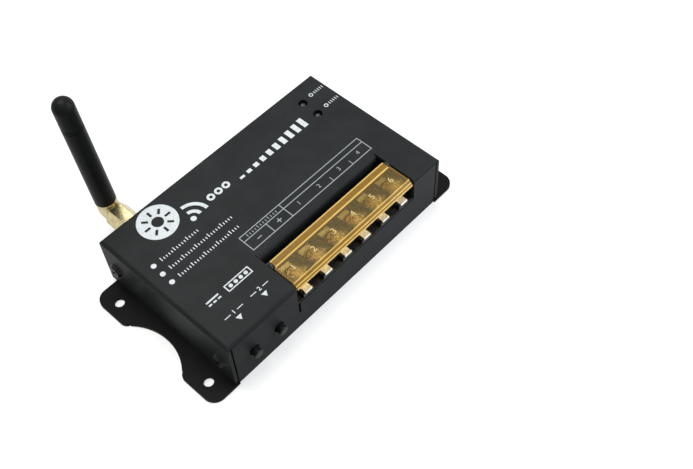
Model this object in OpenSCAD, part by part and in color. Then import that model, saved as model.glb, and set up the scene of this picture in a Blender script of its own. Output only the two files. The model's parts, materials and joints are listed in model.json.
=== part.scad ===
// LED strip controller: a folded steel case with mounting ears, a six-way screw
// terminal block under an amber flip lid, two push-buttons and a right-angle antenna.
// The origin is the centre of the four mounting holes, on the surface that the case
// is fixed to. X runs along the case, the terminals face -Y and Z is up.

/* [Case] */
// Length of the case over its end walls
case_l = 101.6; // [95:0.2:116]
// Depth of the case over its front and back walls
case_w = 62.2; // [59:0.2:72]
// Height of the top face above the mounting surface
case_h = 23.4; // [22.4:0.2:28]
// Thickness of the steel sheet
sheet_t = 1.2; // [0.8:0.1:1.5]
// Outer radius of the bends in the sheet
bend_r = 1.8; // [1.6:0.1:2.2]
// Radius of the two indicator holes in the top face
lamp_hole_r = 1.75; // [1.65:0.05:2.2]
// Radius of the two push-button holes in the front wall
button_hole_r = 2.1; // [1.9:0.05:2.5]
// Height of the push-button axes above the mounting surface
button_z = 11; // [10:0.1:12]

/* [Mounting ears] */
// How far the ears reach past each end wall
ear_reach = 10.1; // [9:0.1:14]
// Radius of the ears' outer corners
ear_corner_r = 4.5; // [2:0.5:6]
// Radius of the curved cut-out between two ears
ear_gap_r = 20.5; // [18:0.1:24]
// Depth of the curved cut-out
ear_gap_depth = 6.4; // [4:0.1:7]
// Radius of the mounting holes
mount_hole_r = 1.75; // [1.5:0.05:2.25]
// Distance of the mounting holes from the ears' ends
mount_hole_end = 4.9; // [4:0.1:5.5]
// Distance of the mounting holes from the ears' long edges
mount_hole_side = 7.8; // [6:0.1:9]
// How far the case's middle lies behind the middle of the mounting holes
case_back = 1.3; // [0:0.1:2]

/* [Terminals] */
// Distance from one terminal to the next
pitch = 9.5; // [9:0.1:10.2]
// Share of the case's spare length that lies between the near end and the terminal block
terminal_share = 0.6062; // [0.45:0.01:0.9]
// Depth of the front notch below the top face
sill_drop = 10; // [9.4:0.1:10.4]
// Depth of the terminal block from nose to rear face
block_d = 15.4; // [15:0.1:17]
// Thickness of the barriers between the terminals
barrier_t = 1.6; // [1.2:0.1:1.8]
// How far the lid stands above the top face
lid_proud = 0.3; // [0:0.1:1]
// Wall thickness of the amber lid
lid_t = 1.2; // [0.9:0.1:1.3]
// Radius of the terminal screws' heads
head_r = 2.9; // [2.5:0.05:3]

/* [Antenna] */
// Distance of the antenna socket from the case's near end
jack_from_end = 15.2; // [13:0.2:22]
// Height of the antenna socket's axis
jack_z = 11.7; // [11:0.1:13]
// Distance of the rod's axis behind the back wall
rod_offset = 17; // [16.5:0.1:20]
// Height of the rod's tip above the socket's axis
rod_h = 57.5; // [40:0.5:90]
// Radius of the rod at its foot
rod_foot_r = 3.9; // [3.7:0.05:4.4]
// Radius of the rod's round tip
rod_tip_r = 3.7; // [3.2:0.05:4]
// Lean of the rod away from upright, in degrees
rod_lean = 2.7; // [0:0.1:10]

/* [Hidden] */
$fn = 48;

// Overrun of every cut
cut = 1;
// Running gap beside moving parts, and the gap between parts that only stand next to each other
gap = 0.2;
// Gap between a screw's shank and its hole, and between faces of parts that meet
seat = 0.05;

// The cover
cover_foot = 0.1;
end_wall_foot = sheet_t + cover_foot;
inner_w = case_w - 2 * sheet_t;
corner_gap = 0.5;
wall_l = case_l - 2 * max(bend_r, sheet_t + corner_gap);
front_y = -case_w / 2;
screw_side = 5.5;
screw_z = 11;
cover_screw_r = 1.5;
cover_screw_l = 6;
cover_head_r = 2.8;
cover_head_h = 1.3;
lamp_from_end = 12.8;
lamp_x = case_l / 2 - lamp_from_end;
lamp_from_back = [8.4, 15.95];
notch_gap = 0.25;
notch_rear = 16.9;
lip_r = 2;
lip_h = 4.5;
slit_w = 0.9;
slit_h = 5.2;

// The base tray
tray_side = inner_w / 2 - gap;
flange_h = 5.5;
ear_side_gap = 0.8;
ear_l = case_l + 2 * ear_reach;
ear_w = case_w - 2 * ear_side_gap;
ear_root = case_l / 2 - bend_r + gap;
ear_tip_r = 3;
tab_x = case_l / 2 - sheet_t - cover_foot;
tab_w = 6.2;
tab_foot = 2;
tab_top = 15;
tab_root_l = 2.4;
hole_x = ear_l / 2 - mount_hole_end;
hole_y = ear_w / 2 - mount_hole_side;

// The circuit board and what fixes it
sheet_inset = 2;
insulation_t = 0.3;
standoff_h = 3.5;
standoff_r = 3;
board_t = 1.6;
board_gap = 0.5;
board_l = 2 * (tab_x - sheet_t - 2 * board_gap);
board_w = 2 * (tray_side - sheet_t - board_gap);
board_bottom = sheet_t + standoff_h;
board_top = board_bottom + board_t;
board_hole_end = 3.7;
board_hole_y = 12;
board_screw_r = 1.5;
board_screw_l = 4.6;
board_head_r = 2.7;
board_head_h = 1.8;

// The terminal block
ways = 6;
end_wall_t = 1.5;
end_extra = 0.2;
block_l = ways * pitch + 2 * end_extra;
nose_inset = 0.2;
nose_y = front_y + nose_inset;
block_rear = nose_y + block_d;
body_front = -(tray_side - sheet_t - board_gap + gap);
sill_z = case_h - sill_drop;
nose_t = 2.3;
recess_l = 4.9;
recess_d = 2.6;
recess_floor_t = 0.6;
barrier_front = nose_y + recess_d;
floor_z = sill_z + cover_foot + nose_t;
rear_wall_t = 1.4;
notch_l = block_l + 2 * notch_gap;
pocket_r = 2.1;
pocket_d = 6.2;

// The lid and its hinge
rail_w = 3.3;
rail_h = 3;
rail_corner_r = 0.9;
rail_step = 0.4;
rail_sweep = norm([rail_w / 2 - rail_corner_r, rail_h / 2 - rail_corner_r]) + rail_corner_r;
hinge_setback = 12.1;
hinge_y = nose_y + hinge_setback;
lid_top = case_h + lid_proud;
lid_face = lid_top - rail_step;
lid_under = lid_face - lid_t;
hinge_z = lid_top - rail_h / 2;
hinge_pin_r = 0.8;
hinge_eye_t = 0.9;
hinge_pin_l = hinge_eye_t - gap;
hinge_eye_r = 1.5;
slope_l = 1.6;
slope_drop = 1.7;
lip_drop = 2.3;
inner_drop = 0.35;
lid_end_gap = 0.4;
lid_l = block_l - 2 * lid_end_gap;
rail_l = block_l - 2 * hinge_eye_t - 2 * gap;
lip_z = lid_face - lip_drop;
barrier_top = lid_under - gap;
saddle_top = hinge_z - rail_sweep - gap;

// Contact plates, clamps and terminal screws
plate_t = 0.8;
plate_w = 6.6;
plate_front = 2.8;
tongue_w = 3.1;
tongue_out = 0.2;
plate_rear = 12.8;
plate_top = floor_z + plate_t;
leg_w = 2.4;
leg_out = 1.6;
clamp_t = 0.9;
clamp_w = 6.4;
clamp_front = 3.2;
clamp_rear = 10;
clamp_hole_r = 1.9;
clamp_rib = 0.35;
clamp_z = plate_top + seat;
screw_setback = 6.6;
screw_y = nose_y + screw_setback;
term_screw_r = 1.75;
term_screw_l = 6.6;
head_h = 2;
head_edge = 0.7;
head_z = clamp_z + clamp_t + seat;
slot_w = 0.8;
slot_d = 1.1;

// Push-buttons and their switches
button_from_end = 9.9;
button_share = 0.2694;
plunger_r = 1.7;
plunger_out = 2.5;
plunger_bore_r = 1.85;
plunger_in = 1.5;
plunger_tip = 0.3;
switch_w = 6;
switch_d = 4.4;
switch_h = 7.6;
switch_bore_d = 2.1;
switch_pin = 0.6;
switch_pin_l = 3;
switch_pin_side = switch_w / 2 - switch_pin;
switch_face = -board_w / 2;

// Indicator lamps
lamp_r = 1.5;
lamp_flange_r = 1.9;
lamp_flange_h = 0.9;
lamp_body_h = 4.8;
lamp_below = 0.5;
lamp_tip_z = case_h - lamp_below;
lamp_foot_z = lamp_tip_z - lamp_body_h;
lead_t = 0.5;
lead_half = 1.27;
lead_out = 1.2;
spacer_r = 2.1;
spacer_bore_r = 1.75;

// Antenna socket
jack_r = 3.175;
jack_hole_r = 3.25;
jack_hex_r = 4.62;
jack_shoulder_t = 2;
jack_tail_r = 2.9;
jack_tail = 4;
jack_bore_r = 2.1;
jack_out = 8.2;
jack_floor = 1.2;
washer_r = 4.8;
washer_t = 0.5;
jack_nut_t = 2;
contact_r = 0.9;
contact_bore_r = 0.6;
contact_bore_l = 4.5;
back_y = case_w / 2;
jack_x = -case_l / 2 + jack_from_end;
jack_end = back_y + jack_out;
shoulder_y = back_y - sheet_t - jack_shoulder_t;

// Antenna
nut_hex_r = 4.9;
nut_bore_r = 3.3;
nut_gap = 0.6;
nut_l = 10;
nut_lip = 1.3;
nut_edge = 0.7;
nut_corner = 0.12;
nut_y = back_y + washer_t + jack_nut_t + nut_gap;
stub_r = 2.6;
stub_flange_r = 3.05;
stub_flange_t = 1;
elbow_r = 3.9;
elbow_bore_r = 1.4;
elbow_start = nut_y + nut_l + gap;
elbow_collar = 1.3;
elbow_neck_r = 2.9;
elbow_neck_l = 4;
rod_y = back_y + rod_offset;
sleeve_foot = elbow_r + elbow_collar;
sleeve_bore_r = 1.6;
sleeve_seam_share = 0.77;
seam_w = 0.35;
seam_d = 0.12;
seam_step = 1.1;
core_r = 1.1;
core_top = 5;
pin_r = 0.45;
pin_reach = 3;

// Electronic parts on the board
coax_r = 0.7;
coax_bend_share = 0.6;
module_l = 16;
module_w = 13;
module_t = 0.8;
module_leg = 1.6;
module_leg_w = 2;
module_from_back = 17.6;
module_y = back_y - module_from_back;
module_side = 4;
module_z = board_top + module_leg;
shield_l = 11;
shield_w = 8;
shield_h = 2;
shield_t = 0.3;
socket_r = 1.5;
socket_h = 1.1;
chip_l = 9;
chip_w = 4;
chip_h = 1.6;
chip_lift = 0.15;
chip_leads = 7;
chip_lead_w = 0.45;
chip_lead_l = 1;
chip_lead_t = 0.2;
chip_pitch = 1.27;
chip_shares = [-0.127, 0.816];
dpak_l = 6.6;
dpak_w = 6.1;
dpak_h = 2.3;
dpak_tab = 1.1;
dpak_tab_t = 0.5;
dpak_leg = 2.6;
dpak_leg_w = 0.9;
dpak_count = 4;
dpak_shares = [0.11, 0.506];
dpak_step_share = 0.185;
regulator_shares = [0.42, 0.87];
can_r = 5;
can_clearance = 2.9;
can_h = case_h - sheet_t - can_clearance - board_top;
can_groove = 0.5;
can_groove_z = 2.4;
can_shares = [-0.338, 0.19];
can_step = 10.5;
can_count = 2;
coil_r = 5.5;
coil_h = 6.5;
coil_flange = 1;
coil_shares = [-0.02, 0.17];
fuse_r = 2.5;
fuse_l = 20;
fuse_cap_l = 5;
fuse_cap_t = 0.15;
fuse_lift = 1;
fuse_shares = [0.423, 0.184];
clip_w = 3.6;
clip_t = 0.4;
crystal_l = 10;
crystal_w = 4.4;
crystal_h = 3.4;
crystal_shares = [0.13, 0.816];
chip_part_l = 2;
chip_part_w = 1.25;
chip_part_h = 0.6;
chip_part_step = 3;
chip_row_shares = [[-0.34, 0.67], [0.12, 0.67], [-0.75, 0.31]];
chip_row_counts = [6, 8, 3];

// The terminal block's place along the case: the buttons and the end screws share the spare length
spare_l = case_l - button_from_end - 1.5 * switch_w - block_l - cover_screw_l;
block_left = -case_l / 2 + button_from_end + 1.5 * switch_w + terminal_share * spare_l;
terminal_x = block_left + block_l / 2;

// Places that repeat
function way_x(i) = terminal_x + (i - (ways + 1) / 2) * pitch;
function button_x(i) = -case_l / 2 + button_from_end + (i - 1) * (switch_w + button_share * spare_l);
function lamp_y(i) = back_y - lamp_from_back[i];
// A place on the board, from shares of its half length and of its depth behind the terminal block
function on_board(shares) = [
    shares[0] * board_l / 2,
    block_rear + shares[1] * (board_w / 2 - block_rear),
    board_top
];
board_hole_x = board_l / 2 - board_hole_end;
board_holes = [for (sx = [-1, 1], sy = [-1, 1]) [sx * board_hole_x, sy * board_hole_y]];
end_screws = [for (sx = [-1, 1], sy = [-1, 1]) [sx, sy * (case_w / 2 - screw_side)]];

// Shapes that repeat
module rounded_square(size, r) {
    square([size[0] - 2 * r, size[1]], center = true);
    square([size[0], size[1] - 2 * r], center = true);
    for (sx = [-1, 1], sy = [-1, 1])
        translate([sx * (size[0] / 2 - r), sy * (size[1] / 2 - r)]) circle(r);
}

// A quarter of a ring that fills the corner towards +X and +Y
module quarter_ring(r, t) {
    intersection() {
        difference() {
            circle(r);
            if (r > t) circle(r - t);
        }
        square(r);
    }
}

// Upright U of sheet, open below, drawn with its width along X and its height along Y
module u_profile(w, h, foot, r, t) {
    translate([-(w / 2 - r), h - t]) square([w - 2 * r, t]);
    for (s = [0, 1])
        mirror([s, 0]) {
            translate([w / 2 - r, h - r]) quarter_ring(r, t);
            translate([w / 2 - t, foot]) square([t, h - r - foot]);
        }
}

// Turns a drawing's X and Y into the part's Y and Z and pulls it along X
module along_x(length) {
    rotate([90, 0, 90]) translate([0, 0, -length / 2]) linear_extrude(length) children();
}

// Turns a drawing's X and Y into the part's X and Z and pulls it along Y
module along_y(length) {
    rotate([90, 0, 0]) translate([0, 0, -length / 2]) linear_extrude(length) children();
}

// Upright cutter for a hole of height h
module bore_z(r, h) {
    translate([0, 0, -cut]) cylinder(r = r, h = h + 2 * cut);
}

module rod_along_y(r, from, to) {
    translate([0, from, 0]) rotate([-90, 0, 0]) cylinder(r = r, h = to - from);
}

module hex_along_y(r, from, to) {
    translate([0, from, 0]) rotate([-90, 0, 0]) cylinder(r = r, h = to - from, $fn = 6);
}

// Moves a shape drawn about the Y axis to the antenna socket's axis
module at_jack() {
    translate([jack_x, 0, jack_z]) children();
}

module at_rod() {
    at_jack() rotate([0, -rod_lean, 0]) children();
}

// The notch in the top and the front wall that the terminal block stands in
module notch() {
    translate([terminal_x - notch_l / 2, front_y - cut, sill_z])
        cube([notch_l, notch_rear + lip_r + cut, sill_drop + cut]);
    translate([terminal_x - notch_l / 2, front_y - cut, sill_z - slit_h])
        cube([slit_w, sheet_t + 2 * cut, slit_h + cut]);
}

// The rounded lip that turns down along the rear of the notch
module notch_lip() {
    translate([terminal_x, 0, 0])
        along_x(notch_l - 2 * notch_gap)
            translate([front_y + notch_rear + lip_r, case_h - lip_r]) {
                mirror([1, 0]) quarter_ring(lip_r, sheet_t);
                translate([-lip_r, -lip_h + lip_r]) square([sheet_t, lip_h - lip_r]);
            }
}

// Outline of the cover seen from an end: square at the foot, rounded along both top edges
module cover_outline() {
    translate([-case_w / 2, 0]) square([case_w, case_h - bend_r]);
    translate([-case_w / 2 + bend_r, 0]) square([case_w - 2 * bend_r, case_h]);
    for (s = [-1, 1])
        translate([s * (case_w / 2 - bend_r), case_h - bend_r]) circle(bend_r);
}

module cover() {
    color("#232526")
    translate([0, case_back, 0])
    union() {
        difference() {
            union() {
                along_x(wall_l) u_profile(case_w, case_h, cover_foot, bend_r, sheet_t);
                for (s = [0, 1])
                    mirror([s, 0, 0])
                        intersection() {
                            along_y(case_w) {
                                translate([case_l / 2 - bend_r, case_h - bend_r])
                                    quarter_ring(bend_r, sheet_t);
                                translate([wall_l / 2 - gap, case_h - sheet_t])
                                    square([(case_l - wall_l) / 2 - bend_r + gap, sheet_t]);
                                translate([case_l / 2 - sheet_t, end_wall_foot])
                                    square([sheet_t, case_h - bend_r - end_wall_foot]);
                            }
                            along_x(case_l + 2 * cut) cover_outline();
                        }
            }
            notch();
            for (i = [0, 1])
                translate([lamp_x, lamp_y(i), case_h - sheet_t]) bore_z(lamp_hole_r, sheet_t);
            for (i = [1, 2])
                translate([button_x(i), 0, button_z])
                    rod_along_y(button_hole_r, front_y - cut, front_y + sheet_t + cut);
            at_jack() rod_along_y(jack_hole_r, back_y - sheet_t - cut, back_y + cut);
            for (p = end_screws)
                translate([p[0] * (case_l / 2), p[1], screw_z])
                    rotate([0, 90, 0])
                        translate([0, 0, -sheet_t - cut])
                            cylinder(r = cover_screw_r + gap, h = 2 * (sheet_t + cut));
        }
        notch_lip();
    }
}

// One quarter of the tray's ear plate, with a rounded outer corner and its mounting hole
module ear_quarter() {
    arc_x = ear_l / 2 - ear_gap_depth + ear_gap_r;
    tip_x = ear_l / 2 - ear_tip_r;
    tip_y = sqrt(pow(ear_gap_r + ear_tip_r, 2) - pow(arc_x - tip_x, 2));
    meet_y = tip_y * ear_gap_r / (ear_gap_r + ear_tip_r);
    difference() {
        union() {
            difference() {
                translate([ear_root, 0]) square([ear_l / 2 - ear_root, ear_w / 2]);
                translate([arc_x, 0]) circle(ear_gap_r);
                translate([tip_x, meet_y - cut]) square([ear_tip_r + cut, tip_y - meet_y + cut]);
                translate([ear_l / 2 - ear_corner_r, ear_w / 2 - ear_corner_r])
                    square(ear_corner_r + cut);
            }
            translate([tip_x, tip_y]) circle(ear_tip_r);
            translate([ear_l / 2 - ear_corner_r, ear_w / 2 - ear_corner_r]) circle(ear_corner_r);
        }
        translate([hole_x, hole_y]) circle(mount_hole_r);
    }
}

// Half of one long flange with its turned-in end tab, in the quarter towards +X and +Y
module tray_tab() {
    difference() {
        union() {
            translate([0, 0, tab_foot]) linear_extrude(tab_top - tab_foot) {
                translate([tab_x - bend_r, tray_side - bend_r]) quarter_ring(bend_r, sheet_t);
                translate([tab_x - sheet_t, tray_side - bend_r - tab_w]) square([sheet_t, tab_w]);
                translate([tab_x - bend_r - tab_root_l, tray_side - sheet_t])
                    square([tab_root_l, sheet_t]);
            }
        }
        translate([tab_x, case_w / 2 - screw_side, screw_z])
            rotate([0, 90, 0])
                translate([0, 0, -sheet_t - cut])
                    cylinder(r = cover_screw_r + seat, h = sheet_t + 2 * cut);
    }
}

module base_tray() {
    color("#1d1f20")
    union() {
        translate([0, case_back, 0]) {
            along_x(2 * (tab_x - bend_r))
                translate([0, flange_h])
                    mirror([0, 1]) u_profile(2 * tray_side, flange_h, 0, bend_r, sheet_t);
            translate([tab_x - bend_r, -(tray_side - bend_r), 0])
                cube([ear_root - tab_x + bend_r, 2 * (tray_side - bend_r), sheet_t]);
            translate([-ear_root, -(tray_side - bend_r), 0])
                cube([ear_root - tab_x + bend_r, 2 * (tray_side - bend_r), sheet_t]);
            for (sx = [0, 1], sy = [0, 1])
                mirror([sx, 0, 0]) mirror([0, sy, 0]) tray_tab();
        }
        for (sx = [0, 1], sy = [0, 1])
            mirror([sx, 0, 0]) mirror([0, sy, 0]) linear_extrude(sheet_t) ear_quarter();
    }
}

module cover_screws() {
    color("#2b2c2d")
    translate([0, case_back, 0])
    for (p = end_screws)
        translate([p[0] * case_l / 2, p[1], screw_z])
            rotate([0, p[0] * 90, 0])
                difference() {
                    union() {
                        cylinder(r1 = cover_head_r, r2 = cover_head_r - head_edge, h = cover_head_h);
                        translate([0, 0, -cover_screw_l]) cylinder(r = cover_screw_r, h = cover_screw_l);
                    }
                    for (a = [0, 90])
                        rotate([0, 0, a + 45])
                            translate([-cover_head_r / 2, -slot_w / 2, cover_head_h - slot_w])
                                cube([cover_head_r, slot_w, slot_w + cut]);
                }
}

module insulation_sheet() {
    color("#d9d2b4")
    translate([0, case_back, 0])
    translate([0, 0, sheet_t])
        linear_extrude(insulation_t)
            difference() {
                square([board_l - 2 * sheet_inset, board_w - 2 * sheet_inset], center = true);
                for (p = board_holes) translate(p) circle(standoff_r + gap);
            }
}

module board_standoffs() {
    color("#c9b468")
    translate([0, case_back, 0])
    for (p = board_holes)
        translate([p[0], p[1], sheet_t])
            difference() {
                cylinder(r = standoff_r, h = standoff_h);
                bore_z(board_screw_r + seat, standoff_h);
            }
}

module circuit_board() {
    color("#1f6b3a")
    translate([0, case_back, 0])
    translate([0, 0, board_bottom])
        linear_extrude(board_t)
            difference() {
                square([board_l, board_w], center = true);
                for (p = board_holes) translate(p) circle(board_screw_r + gap);
                for (i = [1 : ways])
                    translate([way_x(i), nose_y + plate_rear - plate_t / 2])
                        square([leg_w + gap, plate_t + gap], center = true);
                for (i = [0, 1], s = [-1, 1])
                    translate([lamp_x + s * lead_half, lamp_y(i)]) circle(lead_t);
                for (i = [1, 2], s = [-1, 1])
                    translate([button_x(i) + s * switch_pin_side, switch_face + switch_d / 2])
                        circle(switch_pin);
            }
}

module board_screws() {
    color("#b9bcc0")
    translate([0, case_back, 0])
    for (p = board_holes)
        translate([p[0], p[1], board_top])
            difference() {
                union() {
                    cylinder(r1 = board_head_r, r2 = board_head_r - head_edge, h = board_head_h);
                    translate([0, 0, -board_screw_l]) cylinder(r = board_screw_r, h = board_screw_l);
                }
                for (a = [0, 90])
                    rotate([0, 0, a])
                        translate([-board_head_r / 2, -slot_w / 2, board_head_h - slot_d])
                            cube([board_head_r, slot_w, slot_d + cut]);
            }
}

// Side view of a barrier, Y across and Z up
module barrier_profile() {
    polygon([
        [barrier_front, floor_z - nose_t],
        [barrier_front, barrier_top],
        [hinge_y - rail_sweep - gap, barrier_top],
        [hinge_y - rail_sweep - gap, saddle_top],
        [block_rear, saddle_top],
        [block_rear, floor_z - nose_t]
    ]);
}

module hinge_eye_profile() {
    translate([hinge_y, hinge_z]) circle(hinge_eye_r);
    translate([hinge_y - hinge_eye_r, floor_z]) square([2 * hinge_eye_r, hinge_z - floor_z]);
}

module terminal_block() {
    color("#161718")
    translate([0, case_back, 0])
    difference() {
        union() {
            translate([terminal_x - block_l / 2, body_front, board_top])
                cube([block_l, block_rear - body_front, floor_z - board_top]);
            translate([terminal_x - block_l / 2, nose_y, floor_z - nose_t])
                cube([block_l, body_front - nose_y + gap, nose_t]);
            translate([terminal_x - block_l / 2, block_rear - rear_wall_t, floor_z])
                cube([block_l, rear_wall_t, saddle_top - floor_z]);
            for (i = [1 : ways - 1])
                translate([way_x(i) + pitch / 2, 0, 0]) along_x(barrier_t) barrier_profile();
            for (s = [-1, 1])
                translate([terminal_x + s * (block_l - end_wall_t) / 2, 0, 0])
                    along_x(end_wall_t) barrier_profile();
            for (s = [-1, 1])
                translate([terminal_x + s * (block_l - hinge_eye_t) / 2, 0, 0])
                    along_x(hinge_eye_t) hinge_eye_profile();
        }
        translate([terminal_x - block_l / 2 - cut, hinge_y, hinge_z])
            rotate([0, 90, 0]) cylinder(r = hinge_pin_r + seat, h = block_l + 2 * cut);
        for (i = [0 : ways])
            translate([
                way_x(i) + (pitch - recess_l) / 2,
                nose_y - cut,
                floor_z - nose_t + recess_floor_t
            ])
                cube([recess_l, recess_d + cut, nose_t]);
        for (i = [1 : ways]) {
            translate([way_x(i), screw_y, floor_z - pocket_d])
                cylinder(r = pocket_r, h = pocket_d + cut);
            translate([
                way_x(i) - (leg_w + gap) / 2,
                nose_y + plate_rear - plate_t - gap / 2,
                board_top - cut
            ])
                cube([leg_w + gap, plate_t + gap, floor_z - board_top + 2 * cut]);
        }
    }
}

module contact_plates() {
    color("#e3ddc4")
    translate([0, case_back, 0])
    for (i = [1 : ways])
        translate([way_x(i), nose_y, 0])
            difference() {
                union() {
                    translate([-plate_w / 2, plate_front, floor_z])
                        cube([plate_w, plate_rear - plate_front, plate_t]);
                    translate([-tongue_w / 2, -tongue_out, floor_z])
                        cube([tongue_w, plate_front + tongue_out + seat, plate_t]);
                    translate([-leg_w / 2, plate_rear - plate_t, board_bottom - leg_out])
                        cube([leg_w, plate_t, floor_z - board_bottom + leg_out + seat]);
                }
                translate([0, screw_setback, floor_z]) bore_z(term_screw_r + seat, plate_t);
            }
}

// Section of the lid's cap in front of its hinge rail, Y across and Z up
module lid_profile() {
    slope_foot = lid_face - slope_drop;
    polygon([
        [hinge_y - rail_w / 2 + rail_corner_r, lid_face],
        [nose_y + slope_l, lid_face],
        [nose_y, slope_foot],
        [nose_y, lip_z],
        [nose_y + lid_t, lip_z],
        [nose_y + lid_t, slope_foot - inner_drop],
        [nose_y + lid_t + (lid_under - slope_foot + inner_drop) * slope_l / slope_drop, lid_under],
        [hinge_y - rail_w / 2 + rail_corner_r, lid_under]
    ]);
}

module terminal_lid() {
    color("#d8932a", 0.6)
    translate([0, case_back, 0])
    translate([terminal_x, 0, 0]) {
        along_x(rail_l) {
            lid_profile();
            translate([hinge_y, hinge_z]) rounded_square([rail_w, rail_h], rail_corner_r);
        }
        for (s = [-1, 1])
            translate([s * ((lid_l + rail_l) / 4 - seat / 2), 0, 0])
                along_x((lid_l - rail_l) / 2 + seat)
                    intersection() {
                        lid_profile();
                        translate([nose_y - cut, lip_z - cut])
                            square([hinge_setback - rail_w / 2 + cut, lid_top - lip_z + 2 * cut]);
                    }
        for (s = [-1, 1])
            translate([s * (rail_l + hinge_pin_l - seat) / 2, hinge_y, hinge_z])
                rotate([0, 90, 0])
                    cylinder(r = hinge_pin_r, h = hinge_pin_l + seat, center = true);
    }
}

// Square clamp plate with two pressed ribs that grip the wire
module wire_clamp(i) {
    color("#d9c88a")
    translate([0, case_back, 0])
    translate([way_x(i), nose_y, clamp_z])
        difference() {
            union() {
                translate([-clamp_w / 2, clamp_front, 0])
                    cube([clamp_w, clamp_rear - clamp_front, clamp_t]);
                for (y = [clamp_front, clamp_rear - clamp_rib])
                    translate([-clamp_w / 2, y, clamp_t]) cube([clamp_w, clamp_rib, clamp_rib]);
            }
            translate([0, screw_setback, 0]) bore_z(clamp_hole_r, clamp_t);
        }
}

module terminal_screw(i) {
    color("#e0d3a0")
    translate([0, case_back, 0])
    translate([way_x(i), screw_y, head_z])
        difference() {
            union() {
                cylinder(r = head_r, h = head_h - head_edge);
                translate([0, 0, head_h - head_edge])
                    cylinder(r1 = head_r, r2 = head_r - head_edge, h = head_edge);
                translate([0, 0, -term_screw_l]) cylinder(r = term_screw_r, h = term_screw_l);
            }
            translate([-head_r - cut, -slot_w / 2, head_h - slot_d])
                cube([2 * (head_r + cut), slot_w, slot_d + cut]);
            translate([-slot_w / 2, -head_r / 2, head_h - slot_d])
                cube([slot_w, head_r, slot_d + cut]);
        }
}

module button(i) {
    color("#101112")
    translate([0, case_back, 0])
    translate([button_x(i), 0, button_z]) {
        rod_along_y(plunger_r, front_y - plunger_out + plunger_tip, switch_face + plunger_in);
        translate([0, front_y - plunger_out, 0])
            rotate([-90, 0, 0]) cylinder(r1 = plunger_r - plunger_tip, r2 = plunger_r, h = plunger_tip);
    }
}

module switch_bodies() {
    color("#3a3b3c")
    translate([0, case_back, 0])
    for (i = [1, 2])
        difference() {
            union() {
                translate([button_x(i) - switch_w / 2, switch_face, board_top])
                    cube([switch_w, switch_d, switch_h]);
                for (s = [-1, 1])
                    translate([
                        button_x(i) + s * switch_pin_side - switch_pin / 2,
                        switch_face + switch_d / 2 - switch_pin / 2,
                        board_top - switch_pin_l
                    ])
                        cube([switch_pin, switch_pin, switch_pin_l + seat]);
            }
            translate([button_x(i), 0, button_z])
                rod_along_y(plunger_bore_r, switch_face - cut, switch_face + switch_bore_d);
        }
}

module lamp(i, shade) {
    color(shade)
    translate([0, case_back, 0])
    translate([lamp_x, lamp_y(i), 0]) {
        translate([0, 0, lamp_foot_z]) cylinder(r = lamp_flange_r, h = lamp_flange_h);
        translate([0, 0, lamp_foot_z]) cylinder(r = lamp_r, h = lamp_body_h - lamp_r);
        translate([0, 0, lamp_tip_z - lamp_r]) sphere(lamp_r);
        for (s = [-1, 1])
            translate([s * lead_half - lead_t / 2, -lead_t / 2, board_bottom - lead_out])
                cube([lead_t, lead_t, lamp_foot_z - board_bottom + lead_out + seat]);
    }
}

module lamp_spacers() {
    color("#e8e8e4")
    translate([0, case_back, 0])
    for (i = [0, 1])
        translate([lamp_x, lamp_y(i), board_top])
            difference() {
                cylinder(r = spacer_r, h = lamp_foot_z - board_top);
                bore_z(spacer_bore_r, lamp_foot_z - board_top);
            }
}

module antenna_jack() {
    color("#d6b24c")
    translate([0, case_back, 0])
    at_jack()
        difference() {
            union() {
                rod_along_y(jack_r, shoulder_y, jack_end);
                hex_along_y(jack_hex_r, shoulder_y, shoulder_y + jack_shoulder_t);
                rod_along_y(jack_tail_r, shoulder_y - jack_tail, shoulder_y + seat);
            }
            rod_along_y(jack_bore_r, shoulder_y - jack_tail + jack_floor, jack_end + cut);
            rod_along_y(coax_r + seat, shoulder_y - jack_tail - cut, jack_end);
        }
}

module jack_insulator() {
    color("#f2f0ea")
    translate([0, case_back, 0])
    at_jack()
        difference() {
            rod_along_y(jack_bore_r, shoulder_y - jack_tail + jack_floor, jack_end - jack_floor);
            rod_along_y(contact_r, shoulder_y - jack_tail, jack_end);
        }
}

module jack_contact() {
    color("#dcb958")
    translate([0, case_back, 0])
    at_jack()
        difference() {
            rod_along_y(contact_r, shoulder_y - jack_tail + jack_floor, jack_end - jack_floor);
            rod_along_y(contact_bore_r, jack_end - jack_floor - contact_bore_l, jack_end);
        }
}

module jack_washer() {
    color("#c9a94a")
    translate([0, case_back, 0])
    at_jack()
        difference() {
            rod_along_y(washer_r, back_y, back_y + washer_t);
            rod_along_y(jack_r + seat, back_y - cut, back_y + washer_t + cut);
        }
}

module jack_nut() {
    color("#d2ae48")
    translate([0, case_back, 0])
    at_jack()
        difference() {
            hex_along_y(jack_hex_r, back_y + washer_t, back_y + washer_t + jack_nut_t);
            rod_along_y(jack_r + seat, back_y, back_y + washer_t + jack_nut_t + cut);
        }
}

module coupling_nut() {
    round_r = nut_hex_r - nut_corner;
    color("#dab755")
    translate([0, case_back, 0])
    at_rod()
        difference() {
            intersection() {
                hex_along_y(nut_hex_r, nut_y, nut_y + nut_l);
                translate([0, nut_y, 0])
                    rotate([-90, 0, 0])
                        rotate_extrude()
                            polygon([
                                [0, 0],
                                [round_r - nut_edge, 0],
                                [round_r, nut_edge],
                                [round_r, nut_l - nut_edge],
                                [round_r - nut_edge, nut_l],
                                [0, nut_l]
                            ]);
            }
            rod_along_y(nut_bore_r, nut_y - cut, nut_y + nut_l - nut_lip);
            rod_along_y(stub_r + gap, nut_y, nut_y + nut_l + cut);
        }
}

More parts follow.
